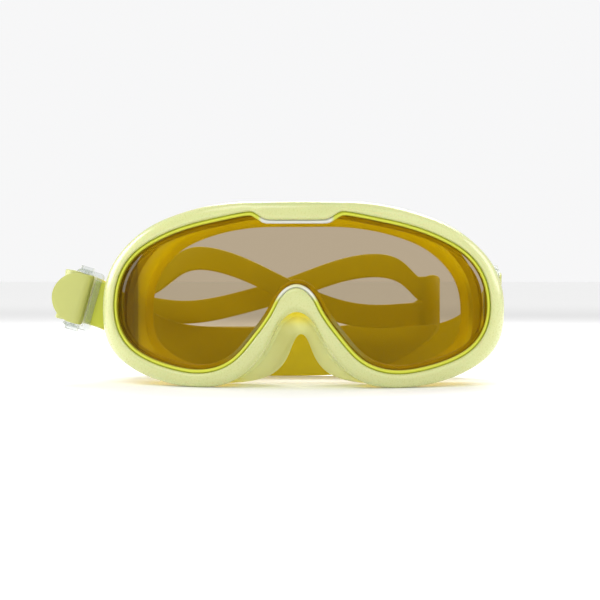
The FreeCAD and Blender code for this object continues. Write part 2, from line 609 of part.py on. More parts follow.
def ribbon(points, uppers, ends, wide):
    """A flat band along a smooth route through points, with its upper edge towards uppers."""
    points = [points[0], points[0] + ends[0] * END_STRAIGHT, *points[1:-1],
              points[-1] - ends[1] * END_STRAIGHT, points[-1]]
    uppers = [uppers[0], *uppers, uppers[-1]]
    lengths = [0.0]
    for before, after in zip(points, points[1:]):
        lengths.append(lengths[-1] + math.sqrt(before.distanceToPoint(after)))
    centre = Part.BSplineCurve()
    centre.interpolate(Points=points, Parameters=lengths)
    upper = Part.BSplineCurve()
    edge_points = [point + way * (wide / 2) for point, way in zip(points, uppers)]
    upper.interpolate(Points=edge_points, Parameters=lengths)
    sections = []
    for i in range(STATIONS + 1):
        at = lengths[-1] * i / STATIONS
        middle = centre.value(at)
        along = centre.tangent(at)[0]
        if i in (0, STATIONS):
            along = ends[0 if i == 0 else 1]
        rise = (upper.value(at) - middle).normalize()
        through = along.cross(rise).normalize() * (size("strap_thickness") / 2)
        rise = rise * (wide / 2)
        sections.append([middle + rise + through, middle + rise - through,
                         middle - rise - through, middle - rise + through])
    edges = []
    for corner in range(4):
        edge = Part.BSplineCurve()
        edge.interpolate(Points=[section[corner] for section in sections],
                         Parameters=[float(i) for i in range(STATIONS + 1)])
        edges.append(edge.toShape())
    faces = [Part.makeLoft([Part.Wire(edges[i]), Part.Wire(edges[(i + 1) % 4])], False, True).Faces[0]
             for i in range(4)]
    faces += [Part.Face(Part.makePolygon(corners + corners[:1])) for corners in (sections[0], sections[-1])]
    sewn = Part.makeShell(faces)
    sewn.sewShape()
    return Part.makeSolid(sewn)


def lead_end(side, gap):
    """Where the strap leaves its threaded part, its direction away from the buckle and its upper edge."""
    origin, outward, forward, along = strap_frame(side, REST_SWING[side])
    back = size("roller_radius") + size("wrap_gap") + size("strap_thickness") / 2
    place = origin + outward * (size("roller_reach") + size("strap_lead") + gap) - forward * back
    return place, outward, along * (1 if along.z > 0 else -1)


def make_strap():
    """The free strap in one piece: two single runs and the two bands between them."""
    wide = size("strap_width")
    band = (wide - size("band_gap")) / 2
    offset = (wide + size("band_gap")) / 4
    leftwards = Vector(-1, 0, 0)
    start, start_way, start_up = lead_end("left", 0.3)
    finish, finish_way, finish_up = lead_end("right", 0.3)
    low_points = [start] + [Vector(*p) for p in LOW_RUN] + [RIGHT_FOLD]
    low_ups = [start_up] * 2 + [UP] * (len(low_points) - 2)
    low = ribbon(low_points, low_ups, (start_way, leftwards), wide)
    front_points = ([RIGHT_FOLD - UP * offset] + [Vector(*p) for p in FRONT_BAND] + [LEFT_FOLD + UP * offset])
    front = ribbon(front_points, [UP] * len(front_points), (leftwards, leftwards), band)
    rear_points = ([RIGHT_FOLD + UP * offset] + [Vector(*p) for p in REAR_BAND] + [LEFT_FOLD - UP * offset])
    rear = ribbon(rear_points, [UP] * len(rear_points), (leftwards, leftwards), band)
    back_points = [LEFT_FOLD] + [Vector(*p) for p in BACK_RUN] + [finish]
    back_ups = [UP] * (len(back_points) - 3) + [finish_up] * 3
    back = ribbon(back_points, back_ups, (leftwards, finish_way * -1), wide)
    return one_solid(low.fuse([front, rear, back]))


# ---------------------------------------------------------------- the assembly
feature("front_frame", make_front_frame())
feature("lens", make_lens())
feature("lens_gasket", make_gasket())
feature("retaining_ring", make_retaining_ring())
feature("skirt", make_skirt())
feature("strap", make_strap())
for side in SIDES:
    make_hinge_pin(side)
    make_arm(side)
    make_buckle_body(side)
    make_roller(side)
    make_button(side, "upper", SIDES[side] * -1)
    make_button(side, "lower", SIDES[side])
    make_release_spring(side)
    make_strap_end(side)

doc.recompute()
for item in doc.Objects:
    if "Invalid" in item.State or "Error" in item.State:
        raise RuntimeError(f"{item.Name} failed: {item.State}")
os.makedirs("parts", exist_ok=True)
for node in nodes:
    shape = node.Shape
    if shape.isNull() or not shape.isValid() or not shape.Solids:
        raise RuntimeError(f"{node.Label} has no valid solid")
    shape.exportStep(f"parts/{node.Label}.step")
    box = shape.BoundBox
    print(f"{node.Label}: {shape.Volume:.0f} mm3, X {box.XMin:.1f} to {box.XMax:.1f}, "
          f"Y {box.YMin:.1f} to {box.YMax:.1f}, Z {box.ZMin:.1f} to {box.ZMax:.1f}")
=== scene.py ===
import math

import bmesh
import bpy
import numpy as np
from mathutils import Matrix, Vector


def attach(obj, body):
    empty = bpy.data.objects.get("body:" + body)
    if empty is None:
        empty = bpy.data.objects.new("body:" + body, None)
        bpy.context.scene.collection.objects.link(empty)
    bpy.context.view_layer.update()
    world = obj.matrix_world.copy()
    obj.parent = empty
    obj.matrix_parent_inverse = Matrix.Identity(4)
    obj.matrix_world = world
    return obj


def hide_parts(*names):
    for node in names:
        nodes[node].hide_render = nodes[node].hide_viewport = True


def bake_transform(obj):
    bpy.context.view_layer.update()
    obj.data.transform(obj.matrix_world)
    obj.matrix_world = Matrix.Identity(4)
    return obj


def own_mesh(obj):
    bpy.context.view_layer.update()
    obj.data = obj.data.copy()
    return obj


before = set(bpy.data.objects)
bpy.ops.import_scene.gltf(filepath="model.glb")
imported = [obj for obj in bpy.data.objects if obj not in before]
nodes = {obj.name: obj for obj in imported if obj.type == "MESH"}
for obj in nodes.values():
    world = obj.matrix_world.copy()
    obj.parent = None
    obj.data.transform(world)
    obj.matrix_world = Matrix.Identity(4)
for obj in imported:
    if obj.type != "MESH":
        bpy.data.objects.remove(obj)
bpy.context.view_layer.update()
MM = 0.001

# ---------------------------------------------------------------- sizes, in millimetres
HALF_WIDTH = 84.0
FRAME_TOP = 75.0  # top of the frame's outline
HEIGHT = 74.85  # where the top is cut flat
FRAME_PEAK = 30.6  # top of the nose arch
LAND_HALF = 18.0  # half the length of the straight stretch at the top
WRAP = 130.0  # radius of the frame's front about the wrap axis
FRAME_DEPTH = 8.5
FRAME_BACK = FRAME_DEPTH - 0.03
LENS_DEPTH = 2.6  # front of the frame to the lens's front
LENS_THICKNESS = 2.0
LENS_INSET = 7.4  # half width of the frame less that of the lens outline
LENS_BOTTOM, LENS_TOP, LENS_PEAK = 7.2, 70.4, 41.8
LENS_HIDDEN = 2.9  # lens edge past its outline, inside the gasket
GROOVE = 4.05  # lens outline to the groove's wall
LIP_SHOW = 1.5  # width of the gasket's lip in the front view
SKIRT_DEPTH = FRAME_DEPTH + 0.03
SKIRT_WALL = 1.8
SKIRT_FLANGE = 1.85  # back of the frame to the back of the skirt's flange
SKIRT_BOTTOM, SKIRT_TOP, SKIRT_PEAK = 0.5, 71.0, 19.5
NOSE_SHARE = 0.38  # nose opening's top over the width of the frame's nose arch there
WAIST_HALF, WAIST_Y = 74.0, 34.0
REAR_HALF, REAR_Y = 71.5, 78.0
FACE_RADIUS = 85.0
FACE_DEPTH = 31.0
HINGE = (80.2, 46.0, 31.0)
LUG_RADIUS = 2.3
LUG_THICKNESS = 2.2
LUG_EDGE = 0.35
LUG_START = 37.0  # where the lugs leave the frame, along Y
LUG_LOWS = {"upper": 9.7, "lower": -11.9}  # underside of each lug from the hinge's middle
STRAP_WIDTH = 21.6
STRAP_THICKNESS = 2.0
STRAP_EDGE = 0.6
BAND_GAP = 1.0
ROLLER_REACH = 16.4
ROLLER_RADIUS = 1.7
WRAP_GAP = 0.05  # roller to the strap round it
STRAP_LEAD = 4.2
TAIL_TIP = 27.8
TAIL_RADIUS = STRAP_WIDTH / 2
ARM_TILT = math.radians(15.9)
WIRE_RADIUS = 0.2

# Shares of the half width and of the height, as in the CAD outlines.
FRAME_SIDE = [(0.43, 0.978), (0.578, 0.938), (0.727, 0.874), (0.862, 0.768), (0.950, 0.648),
              (0.992, 0.520), (1.0, 0.393), (0.984, 0.270), (0.938, 0.180), (0.880, 0.124),
              (0.786, 0.068), (0.630, 0.016), (0.455, 0.0)]
FRAME_NOSE = [(0.742, 0.056), (0.523, 0.220), (0.382, 0.415), (0.262, 0.660), (0.160, 0.885)]
LENS_SIDE = [(0.234, 0.986), (0.404, 0.950), (0.599, 0.896), (0.768, 0.817), (0.892, 0.720),
             (0.971, 0.586), (1.0, 0.417), (0.980, 0.262), (0.917, 0.152), (0.802, 0.069),
             (0.668, 0.020), (0.508, 0.0)]
LENS_NOSE = [(0.705, 0.106), (0.470, 0.378), (0.268, 0.700), (0.200, 0.845), (0.112, 0.955)]
# Stations from the top to the widest point, to the lobe's bottom, and to the nose's peak.
PARTS = (62, 50, 48)


# ---------------------------------------------------------------- curves
def spline(points, lengths, at, first=None, last=None):
    """A twice smooth cubic through points at the given lengths, with optional end directions."""
    p = np.asarray(points, float)
    t = np.asarray(lengths, float)
    h = np.diff(t)
    n = len(p)
    a = np.zeros((n, n))
    b = np.zeros_like(p)
    for i in range(1, n - 1):
        a[i, i - 1], a[i, i], a[i, i + 1] = h[i], 2 * (h[i - 1] + h[i]), h[i - 1]
        b[i] = 3 * (h[i] * (p[i] - p[i - 1]) / h[i - 1] + h[i - 1] * (p[i + 1] - p[i]) / h[i])
    a[0, 0] = a[-1, -1] = 1.0
    b[0] = (p[1] - p[0]) / h[0] if first is None else first
    b[-1] = (p[-1] - p[-2]) / h[-1] if last is None else last
    m = np.linalg.solve(a, b)
    at = np.clip(np.asarray(at, float), t[0], t[-1])
    k = np.clip(np.searchsorted(t, at, side="right") - 1, 0, n - 2)
    u = ((at - t[k]) / h[k])[:, None]
    hk = h[k][:, None]
    return ((1 + 2 * u) * (1 - u) ** 2 * p[k] + u * (1 - u) ** 2 * hk * m[k]
            + u * u * (3 - 2 * u) * p[k + 1] + u * u * (u - 1) * hk * m[k + 1])


def run_lengths(points):
    """Length run at each point of a polyline."""
    return np.r_[0, np.cumsum(np.linalg.norm(np.diff(points, axis=0), axis=1))]


def resampled(points, count):
    """Points evenly spaced along a polyline."""
    steps = run_lengths(points)
    at = np.linspace(0, steps[-1], count)
    return np.stack([np.interp(at, steps, points[:, i]) for i in range(points.shape[1])], axis=1)


def outline(side, nose, half_width, bottom, top, peak, land=0.0, share=1.0):
    """The right half outline as evenly split stations, from the middle's top to the nose's peak."""
    points = [(0.0, top)] + ([(land, top)] if land else [])
    points += [(a * half_width, bottom + u * (top - bottom)) for a, u in side]
    lobe = side[-1][0] * half_width
    points += [(a * lobe * (share + (1 - share) * a * a), bottom + u * (peak - bottom))
               for a, u in nose]
    points.append((0.0, peak))
    chords = run_lengths(np.array(points))
    dense = spline(points, chords, np.linspace(0, chords[-1], 3000), (1, 0), (-1, 0))
    widest = int(np.argmax(dense[:, 0]))
    low = widest + int(np.argmin(dense[widest:, 1]))
    cuts = (dense[:widest + 1], dense[widest:low + 1], dense[low:])
    parts = [resampled(cut, count + 1)[:-1] for cut, count in zip(cuts, PARTS)]
    return np.vstack(parts + [dense[-1:]])


def normals(half):
    """Outward normals of a half outline."""
    along = np.gradient(half, axis=0)
    along[0], along[-1] = (1, 0), (-1, 0)
    along /= np.linalg.norm(along, axis=1)[:, None]
    return np.stack([-along[:, 1], along[:, 0]], axis=1)


def grown(half, distance):
    """A half outline moved outwards."""
    moved = half + normals(half) * distance
    moved[0, 0] = moved[-1, 0] = 0.0
    return moved


def whole(half):
    """The right half outline and its mirror image as one closed ring."""
    left = half[1:-1][::-1] * (-1, 1)
    return np.vstack([half, left])


def wrapped(flat, depth):
    """Points of the front view pushed onto the wrap cylinder at a depth behind the frame's front."""
    radius = WRAP - np.asarray(depth, float)
    return WRAP - np.sqrt(radius ** 2 - flat[:, 0] ** 2)


def on_wrap(flat, depth):
    """Points of the front view as 3-D points at a depth behind the frame's front."""
    return np.column_stack([flat[:, 0], wrapped(flat, depth), flat[:, 1]])


def tabbed(half, margin):
    """An outline with the top tab's trapezium cut into it, with softened corners."""
    low = FRAME_TOP - 7.6 - margin
    short = 12.4 + margin / 2  # half the trapezium's short side
    x = half[:, 0]
    slope = low + (x - short) * (3.9 / 5.8)
    soft = 0.55
    gap = slope - low
    tab = low + (gap + np.sqrt(gap ** 2 + soft ** 2)) / 2
    z = half[:, 1].copy()
    top = np.arange(len(z)) < PARTS[0]
    diff = tab - z
    mixed = (z + tab - np.sqrt(diff ** 2 + soft ** 2)) / 2
    z[top] = np.where(diff[top] < 3.0, mixed[top], z[top])
    return np.stack([x, z], axis=1)


# ---------------------------------------------------------------- meshes
def new_mesh(name, verts, faces):
    """A mesh object from millimetre points."""
    mesh = bpy.data.meshes.new(name)
    mesh.from_pydata([tuple(float(c) * MM for c in v) for v in verts], [], faces)
    mesh.validate()
    mesh.update()
    obj = bpy.data.objects.new(name, mesh)
    bpy.context.scene.collection.objects.link(obj)
    mesh.polygons.foreach_set("use_smooth", [True] * len(mesh.polygons))
    return obj


def strips(count, around, closed=False):
    """Faces between closed sections that follow each other."""
    faces = []
    for i in range(count if closed else count - 1):
        here, there = i * around, (i + 1) % count * around
        faces += [(here + j, here + (j + 1) % around, there + (j + 1) % around, there + j)
                  for j in range(around)]
    return faces


def tube_faces(count, around):
    """Faces of closed sections that follow each other, with a cap at each end."""
    last = (count - 1) * around
    caps = [tuple(range(around))[::-1], tuple(last + j for j in range(around))]
    return strips(count, around) + caps


def ring_mesh(name, sections):
    """A closed ring of closed sections: sections has shape (stations, points, 3)."""
    s, p, _ = sections.shape
    return new_mesh(name, sections.reshape(-1, 3), strips(s, p, closed=True))


def sharpen(obj, degrees):
    """Marks edges over an angle as sharp."""
    limit = math.cos(math.radians(degrees))
    mesh = obj.data
    lookup = {}
    for poly in mesh.polygons:
        for key in poly.edge_keys:
            lookup.setdefault(key, []).append(poly.normal.copy())
    for edge in mesh.edges:
        pair = lookup.get(tuple(sorted(edge.vertices)), [])
        edge.use_edge_sharp = len(pair) == 2 and pair[0].dot(pair[1]) < limit


def turned_out(obj):
    """Makes the normals consistent and outward."""
    bm = bmesh.new()
    bm.from_mesh(obj.data)
    bmesh.ops.recalc_face_normals(bm, faces=bm.faces)
    bm.to_mesh(obj.data)
    bm.free()


def finished(obj, degrees):
    """Turns a mesh's faces outwards and marks its sharp edges."""
    turned_out(obj)
    sharpen(obj, degrees)
    return obj


frame_half = outline(FRAME_SIDE, FRAME_NOSE, HALF_WIDTH, 0.0, FRAME_TOP, FRAME_PEAK, LAND_HALF)
skirt_front = grown(frame_half, -1.5)
lens_half = outline(LENS_SIDE, LENS_NOSE, HALF_WIDTH - LENS_INSET, LENS_BOTTOM, LENS_TOP, LENS_PEAK)
frame_half[:, 1] = np.minimum(frame_half[:, 1], HEIGHT)
outer_ring = whole(frame_half)
inner_ring = whole(tabbed(grown(lens_half, LIP_SHOW), 0.0))
groove_ring = whole(grown(lens_half, GROOVE))


def make_frame():
    """The front frame: outer wall, crowned band, a step down to the groove, and the recess."""
    # Millimetres in from the outer edge, and depth behind the front.
    outer_rows = [(0.5, FRAME_BACK), (0.14, 8.33), (0.0, 7.95), (0.0, 6.4), (0.0, 4.9)]
    outer_rows += [(3.6 - 3.6 * math.cos(a), 4.0 - 3.75 * math.sin(a))
                   for a in np.linspace(0.18, 1.35, 9)]
    # Millimetres out from the inner edge, and depth behind the front.
    inner_rows = [(2.05, 0.0), (1.55, 0.02), (1.1, 0.10), (0.72, 0.24), (0.40, 0.48), (0.16, 0.80),
                  (0.03, 1.15), (0.0, 1.5)]
    width = np.linalg.norm(inner_ring - outer_ring, axis=1)
    scale = np.clip(width / 5.9, 0.5, 1.0)  # the crown narrows where the band does
    columns = []
    for mm, d in outer_rows:
        length = mm * scale if mm > 0.5 else np.full(len(width), mm)
        flat = outer_ring + (inner_ring - outer_ring) * (length / width)[:, None]
        columns.append(on_wrap(flat, d))
    for mm, d in inner_rows:
        flat = inner_ring + (outer_ring - inner_ring) * (mm * scale / width)[:, None]
        columns.append(on_wrap(flat, d))
    columns += [on_wrap(groove_ring, d) for d in (1.52, FRAME_BACK)]
    return finished(ring_mesh("front_frame_band", np.stack(columns, axis=1)), 40)


def make_gasket():
    """The silicone gasket: a raised lip round the lens, and the channel hidden in the frame."""
    inner = whole(tabbed(lens_half, LIP_SHOW))
    under = whole(tabbed(grown(lens_half, LIP_SHOW + 0.7), -0.7))
    lens_ring = whole(lens_half)
    back = 5.66  # depth of the gasket's back
    # Share of the way across the lip, and depth behind the frame's front.
    lip = [(0.0, 1.95), (0.30, 1.95), (0.42, 1.62), (0.52, 1.38), (0.64, 1.25), (0.76, 1.30),
           (0.87, 1.52), (0.95, 1.85), (0.99, 2.25), (1.0, 2.59)]
    columns = [on_wrap(under + (inner - under) * share, d) for share, d in lip]
    channel = [(lens_ring, 2.61), (lens_ring, back), (groove_ring, back), (groove_ring, 1.95)]
    columns += [on_wrap(ring, d) for ring, d in channel]
    return finished(ring_mesh("lens_gasket_lip", np.stack(columns, axis=1)), 50)


def make_lens():
    """The wrapped lens sheet as a grid of columns between its lower and upper edge."""
    half = grown(lens_half, LENS_HIDDEN)
    widest = int(np.argmax(half[:, 0]))
    upper, lower = half[:widest + 1], half[widest:][::-1]
    reach = half[widest, 0]
    xs = reach * np.sin(np.linspace(-math.pi / 2, math.pi / 2, 181)) * 0.99999
    top = np.interp(np.abs(xs), upper[:, 0], upper[:, 1])
    low = np.interp(np.abs(xs), lower[:, 0], lower[:, 1])
    rows = 10
    verts, faces = [], []
    for d in (LENS_DEPTH, LENS_DEPTH + LENS_THICKNESS):
        for x, z0, z1 in zip(xs, low, top):
            y = WRAP - math.sqrt((WRAP - d) ** 2 - x * x)
            verts += [(x, y, z0 + (z1 - z0) * j / rows) for j in range(rows + 1)]
    stride = rows + 1
    back = len(xs) * stride
    for i in range(len(xs) - 1):
        for j in range(rows):
            a, b = i * stride + j, (i + 1) * stride + j
            faces.append((a, b, b + 1, a + 1))
            faces.append((back + a, back + a + 1, back + b + 1, back + b))
        for j in (0, rows):
            a, b = i * stride + j, (i + 1) * stride + j
            faces.append((a, back + a, back + b, b) if j == 0 else (a, b, back + b, back + a))
    for i in (0, len(xs) - 1):
        for j in range(rows):
            a = i * stride + j
            edge = (a, a + 1, back + a + 1, back + a)
            faces.append(edge if i == 0 else (edge[0], *edge[:0:-1]))
    return finished(new_mesh("lens_sheet", verts, faces), 40)


def skirt_outlines():
    """The skirt's outlines at the frame, at the waist and at the rear."""
    waist, rear = (outline(FRAME_SIDE, FRAME_NOSE, half_width, SKIRT_BOTTOM, SKIRT_TOP, SKIRT_PEAK,
                           LAND_HALF, NOSE_SHARE) for half_width in (WAIST_HALF, REAR_HALF))
    return skirt_front, waist, rear


def make_skirt():
    """The silicone skirt: a lofted wall with a rolled seal edge turned inwards along the face."""
    outlines = skirt_outlines()
    outs = [normals(o) for o in outlines]

    def place(y, inward):
        """Half-outline points at depths y, moved inwards."""
        y = np.broadcast_to(y, (len(outlines[0]),)).astype(float)
        u = np.clip(y / WAIST_Y, 0, 1)[:, None]
        v = np.clip((y - WAIST_Y) / (REAR_Y - WAIST_Y), 0, 1)[:, None]
        flat = outlines[0] * (1 - u) + outlines[1] * u
        flat = flat * (1 - v) + outlines[2] * v
        way = outs[0] * (1 - u) + outs[1] * u
        way = way * (1 - v) + outs[2] * v
        way /= np.linalg.norm(way, axis=1)[:, None]
        flat = flat - way * inward
        flat[0, 0] = flat[-1, 0] = 0.0
        return flat

    def at_face(inward, forward):
        """Points on the face's cylinder, moved forwards."""
        y = np.full(len(outlines[0]), 50.0)
        for _ in range(12):
            flat = place(y, inward)
            y = FACE_DEPTH + FACE_RADIUS - np.sqrt((FACE_RADIUS + forward) ** 2 - flat[:, 0] ** 2)
        flat = place(y, inward)
        return np.column_stack([flat[:, 0], y, flat[:, 1]])

    def at_frame(inward, behind):
        """Points behind the frame."""
        y = np.full(len(outlines[0]), 10.0)
        for _ in range(12):
            flat = place(y, inward)
            y = WRAP - np.sqrt((WRAP - SKIRT_DEPTH - behind) ** 2 - flat[:, 0] ** 2)
        flat = place(y, inward)
        return np.column_stack([flat[:, 0], y, flat[:, 1]])

    def wall(inward, share, first, last):
        """Points of the wall at a share of the way between two edges."""
        y = first[:, 1] * (1 - share) + last[:, 1] * share
        flat = place(y, inward)
        return np.column_stack([flat[:, 0], y, flat[:, 1]])

    front_out, rear_out = at_frame(0.0, 0.0), at_face(0.05, 1.3)
    columns = [front_out]
    columns += [wall(0.0, s, front_out, rear_out) for s in np.linspace(0.06, 0.98, 16)]
    # The rolled seal edge: millimetres inwards, and forwards of the face.
    seal = [(0.0, 1.3), (0.08, 0.75), (0.35, 0.25), (0.9, 0.03), (1.8, 0.0), (3.0, 0.05), (4.3, 0.18),
            (5.3, 0.42), (5.85, 0.75), (6.0, 1.1), (5.8, 1.45), (5.2, 1.72), (4.0, 1.9), (2.8, 2.15),
            (2.1, 2.7), (1.85, 3.6)]
    columns += [at_face(inward, forward) for inward, forward in seal]
    rear_in, front_in = columns[-1], at_frame(SKIRT_WALL, SKIRT_FLANGE)
    columns += [wall(SKIRT_WALL, s, rear_in, front_in) for s in np.linspace(0.08, 0.94, 12)]
    columns += [front_in, at_frame(3.0, 1.8)]
    # The flange's inner edge, with a shallow hollow half way.
    flange = grown(lens_half, -1.55)
    for behind, hollow in ((1.77, 0.0), (0.9, 0.25), (0.0, 0.0)):
        columns.append(on_wrap(grown(flange, -hollow), SKIRT_DEPTH + behind))
    half = np.stack(columns, axis=1)
    left = half[1:-1][::-1] * (-1, 1, 1)
    return finished(ring_mesh("skirt_body", np.concatenate([half, left])), 60)


# ---------------------------------------------------------------- strap
UP = np.array([0.0, 0.0, 1.0])
LEFTWARDS = np.array([-1.0, 0.0, 0.0])
RIGHT_FOLD = np.array([50.0, 73.0, 34.0])
LEFT_FOLD = np.array([-72.0, 82.0, 36.0])
LOW_RUN = [(-103.6, 50.4, 37.3), (-102.8, 53.2, 37.0), (-97.8, 57.6, 35.7), (-89.6, 63.6, 32.6),
           (-81.8, 69.8, 27.4), (-72.0, 75.4, 20.0), (-60.0, 78.6, 14.0), (-43.0, 80.5, 11.6),
           (-18.0, 82.5, 11.4), (10.0, 84.5, 11.8), (32.0, 85.0, 15.5), (47.0, 84.5, 23.0),
           (55.5, 81.5, 30.0), (56.5, 76.5, 34.0), (53.5, 73.6, 34.6)]
FRONT_BAND = [(36.0, 71.0, 27.5), (22.0, 69.5, 28.0), (7.0, 69.0, 32.0), (-12.0, 69.5, 40.5),
              (-28.0, 71.5, 48.0), (-43.5, 75.0, 52.5), (-55.0, 78.5, 51.5), (-64.5, 81.0, 45.0)]
REAR_BAND = [(41.0, 72.5, 46.5), (27.0, 73.0, 49.5), (10.0, 74.5, 46.0), (-8.0, 77.0, 39.5),
             (-25.0, 79.8, 34.5), (-44.0, 82.5, 30.0), (-60.0, 83.2, 29.0)]
BACK_RUN = [(-79.0, 84.0, 34.5), (-80.5, 89.0, 28.0), (-74.5, 92.4, 20.0), (-60.0, 93.2, 13.0),
            (-40.0, 93.2, 11.4), (0.0, 93.2, 11.4), (42.0, 93.0, 11.4), (62.0, 91.5, 14.5),
            (74.0, 87.0, 23.0), (78.6, 80.5, 32.0), (78.0, 74.5, 37.2)]
END_STRAIGHT = 1.5


def section(width, thickness, edge):
    """A flat band's rounded section as (across, through) points."""
    half, deep = width / 2, thickness / 2
    points = []
    for sx, sy, end in ((1, 1, 90), (-1, 1, 180), (-1, -1, 270), (1, -1, 360)):
        for a in np.linspace(math.radians(end - 90), math.radians(end), 4):
            points.append((sx * (half - edge) + edge * math.cos(a),
                           sy * (deep - edge) + edge * math.sin(a)))
    crown = [(half - edge) * s for s in (0.6, 0.2, -0.2, -0.6)]
    return (points[:4] + [(c, deep) for c in crown] + points[4:12] + [(-c, -deep) for c in crown]
            + points[12:])


def swept(name, middles, rises, throughs, width, widths=None):
    """A flat band of the strap's thickness through stations, its width scaled by widths."""
    shape = section(width, STRAP_THICKNESS, STRAP_EDGE)
    widths = [1.0] * len(middles) if widths is None else widths
    verts = [middle + rise * across * factor + through * deep
             for middle, rise, through, factor in zip(middles, rises, throughs, widths)
             for across, deep in shape]
    return finished(new_mesh(name, verts, tube_faces(len(middles), len(shape))), 60)


def unit(v):
    """Rows scaled to length one."""
    return v / np.linalg.norm(v, axis=-1, keepdims=True)


def route(points, uppers, ends, wide, stations):
    """Middles, rises and throughs of a flat band along a smooth route."""
    points = [points[0], points[0] + ends[0] * END_STRAIGHT, *points[1:-1],
              points[-1] - ends[1] * END_STRAIGHT, points[-1]]
    uppers = [uppers[0], *uppers, uppers[-1]]
    points, uppers = np.array(points), np.array(uppers)
    # Lengths count by their square roots, which keeps the curve from swinging wide.
    lengths = np.r_[0, np.cumsum(np.sqrt(np.linalg.norm(np.diff(points, axis=0), axis=1)))]
    at = np.linspace(0, lengths[-1], stations)
    middles = spline(points, lengths, at)
    edge = spline(points + uppers * (wide / 2), lengths, at)
    along = np.gradient(middles, axis=0)
    along[0], along[-1] = ends
    rises = unit(edge - middles)
    throughs = unit(np.cross(along, rises))
    return middles, rises, throughs


SIDES = {"left": -1, "right": 1}
REST_SWING = {"left": 0.0, "right": 90.0}
STRAP_BACK = ROLLER_RADIUS + WRAP_GAP + STRAP_THICKNESS / 2  # roller's axis to the strap's middle


def strap_frame(side):
    """Origin, outward, forward and upward directions of one side's arm at rest."""
    sign = SIDES[side]
    swing = math.radians(REST_SWING[side])
    c, s = math.cos(swing), math.sin(swing)
    turn = np.array([[c, -s, 0], [s, c, 0], [0, 0, 1]])
    outward = turn @ np.array([sign * math.cos(ARM_TILT), 0, math.sin(ARM_TILT)])
    forward = turn @ np.array([0, -1.0, 0])
    origin = np.array([sign * HINGE[0], HINGE[1], HINGE[2]])
    along = np.cross(outward, forward)
    return origin, outward, forward, along * (1 if along[2] > 0 else -1)


def lead_end(side):
    """Where the strap leaves its threaded part, its direction there and its upper edge."""
    origin, outward, forward, up = strap_frame(side)
    return origin + outward * (ROLLER_REACH + STRAP_LEAD + 0.02) - forward * STRAP_BACK, outward, up


def make_strap_end(side):
    """The threaded end of the strap: lead, turn round the roller, and the rounded tail pad."""
    origin, outward, forward, up = strap_frame(side)
    mean = STRAP_BACK
    flat = [(r, -mean) for r in np.linspace(ROLLER_REACH + STRAP_LEAD, ROLLER_REACH, 6)]
    flat += [(ROLLER_REACH + mean * math.cos(a), mean * math.sin(a))
             for a in np.radians(np.linspace(-90, -270, 22)[1:-1])]
    tip_start = TAIL_TIP - TAIL_RADIUS
    flat += [(r, mean) for r in np.linspace(ROLLER_REACH, tip_start, 6)]
    tip = np.linspace(0, math.pi / 2, 15)[1:]
    widths = [1.0] * len(flat) + [max(math.cos(a), 0.05) for a in tip]
    flat += [(tip_start + TAIL_RADIUS * math.sin(a), mean) for a in tip]
    middles = np.array([origin + outward * r + forward * f for r, f in flat])
    rises = np.tile(up, (len(middles), 1))
    throughs = unit(np.cross(unit(np.gradient(middles, axis=0)), rises))
    return swept(side + "_strap_tail", middles, rises, throughs, STRAP_WIDTH, widths)


def make_straps():
    """The free strap: a low run, two bands and a back run, each made as a piece of its own."""
    offset = (STRAP_WIDTH + BAND_GAP) / 4
    band = (STRAP_WIDTH - BAND_GAP) / 2
    start, start_way, start_up = lead_end("left")
    finish, finish_way, finish_up = lead_end("right")

    def run(name, points, uppers, ends, wide, stations):
        """One stretch of the strap along its route."""
        return swept(name, *route(points, uppers, ends, wide, stations), wide)

    low_points = [start, *map(np.array, LOW_RUN), RIGHT_FOLD]
    low_ups = [start_up] * 2 + [UP] * (len(low_points) - 2)
    pieces = {"low": run("strap_left_run", low_points, low_ups, (start_way, LEFTWARDS), STRAP_WIDTH, 181)}
    for key, points, sign in (("front", FRONT_BAND, -1), ("rear", REAR_BAND, 1)):
        line = [RIGHT_FOLD + UP * offset * sign, *map(np.array, points), LEFT_FOLD - UP * offset * sign]
        pieces[key] = run(f"strap_{key}_band", line, [UP] * len(line), (LEFTWARDS, LEFTWARDS), band, 121)
    back_points = [LEFT_FOLD, *map(np.array, BACK_RUN), finish]
    back_ups = [UP] * (len(back_points) - 3) + [finish_up] * 3
    pieces["back"] = run("strap_right_run", back_points, back_ups, (LEFTWARDS, -finish_way),
                         STRAP_WIDTH, 161)
    return pieces


# ---------------------------------------------------------------- materials
def add(nt, kind, inputs, **settings):
    """A new node: each input is given a value, or a socket to be linked from."""
    node = nt.nodes.new("ShaderNode" + kind)
    for key, value in settings.items():
        setattr(node, key, value)
    for key, value in inputs.items():
        if isinstance(value, bpy.types.NodeSocket):
            nt.links.new(value, node.inputs[key])
        else:
            node.inputs[key].default_value = value
    return node


def noise(nt, place, scale, detail):
    """The value of a noise in object coordinates."""
    return add(nt, "TexNoise", {"Scale": scale, "Detail": detail, "Vector": place}).outputs["Fac"]


def ranged(nt, value, low, high):
    """A share turned into a value between two others."""
    return add(nt, "MapRange", {"To Min": low, "To Max": high, "Value": value}).outputs["Result"]


def mixed_shader(nt, share, first, second):
    """Makes the surface a mix of two shaders."""
    mix = add(nt, "MixShader", {"Fac": share, 1: first, 2: second})
    nt.links.new(mix.outputs["Shader"], nt.nodes["Material Output"].inputs["Surface"])


def blank(name):
    """A new material with its node tree, Principled shader and object coordinates."""
    mat = bpy.data.materials.new(name)
    mat.use_nodes = True
    nt = mat.node_tree
    return mat, nt, nt.nodes["Principled BSDF"], add(nt, "TexCoord", {}).outputs["Object"]


